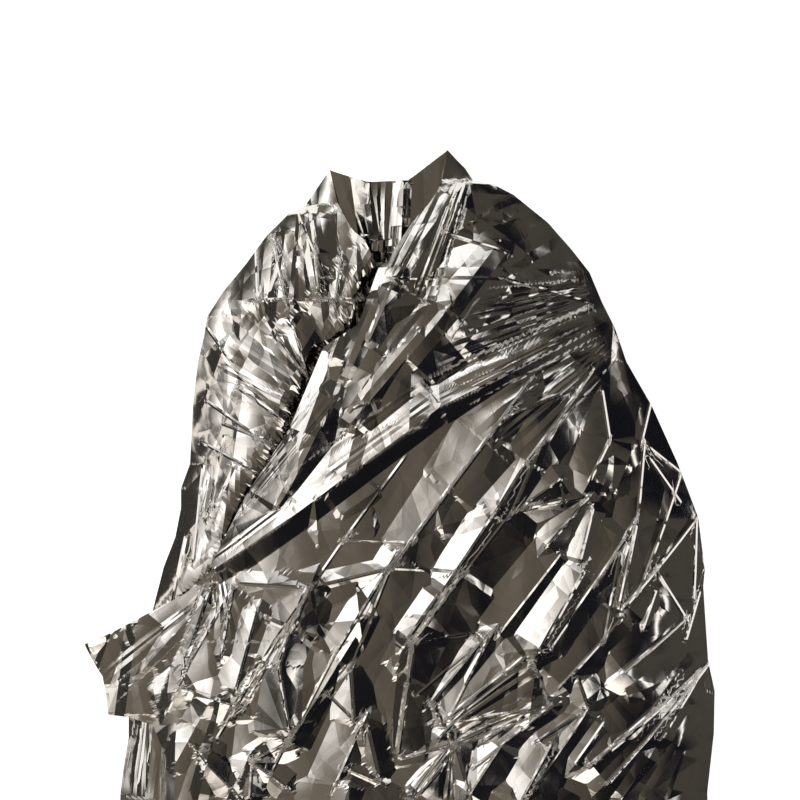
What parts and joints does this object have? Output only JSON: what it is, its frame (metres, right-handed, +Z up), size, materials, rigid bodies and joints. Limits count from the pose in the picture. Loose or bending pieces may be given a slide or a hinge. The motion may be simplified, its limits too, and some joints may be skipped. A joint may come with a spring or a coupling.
{
  "type": "emergency foil blanket",
  "caption": "Thin metallised film blanket, folded round itself as a crossed-over wrap with a V neck and one loose corner, lying flat on its back.",
  "frame": {"origin": "centre of the bounding box at floor level, under the blanket", "axes": "+Y along the wrap toward its neck, +X toward the side fold that the over panel comes from, +Z up from the floor"},
  "size_m": [0.7704, 1.2545, 0.0767],
  "materials": {
    "foil": "mirror-bright metallised polyester film, finely crinkled"
  },
  "bodies": {
    "root": {"foil_sheet": "foil"}
  },
  "joints": []
}
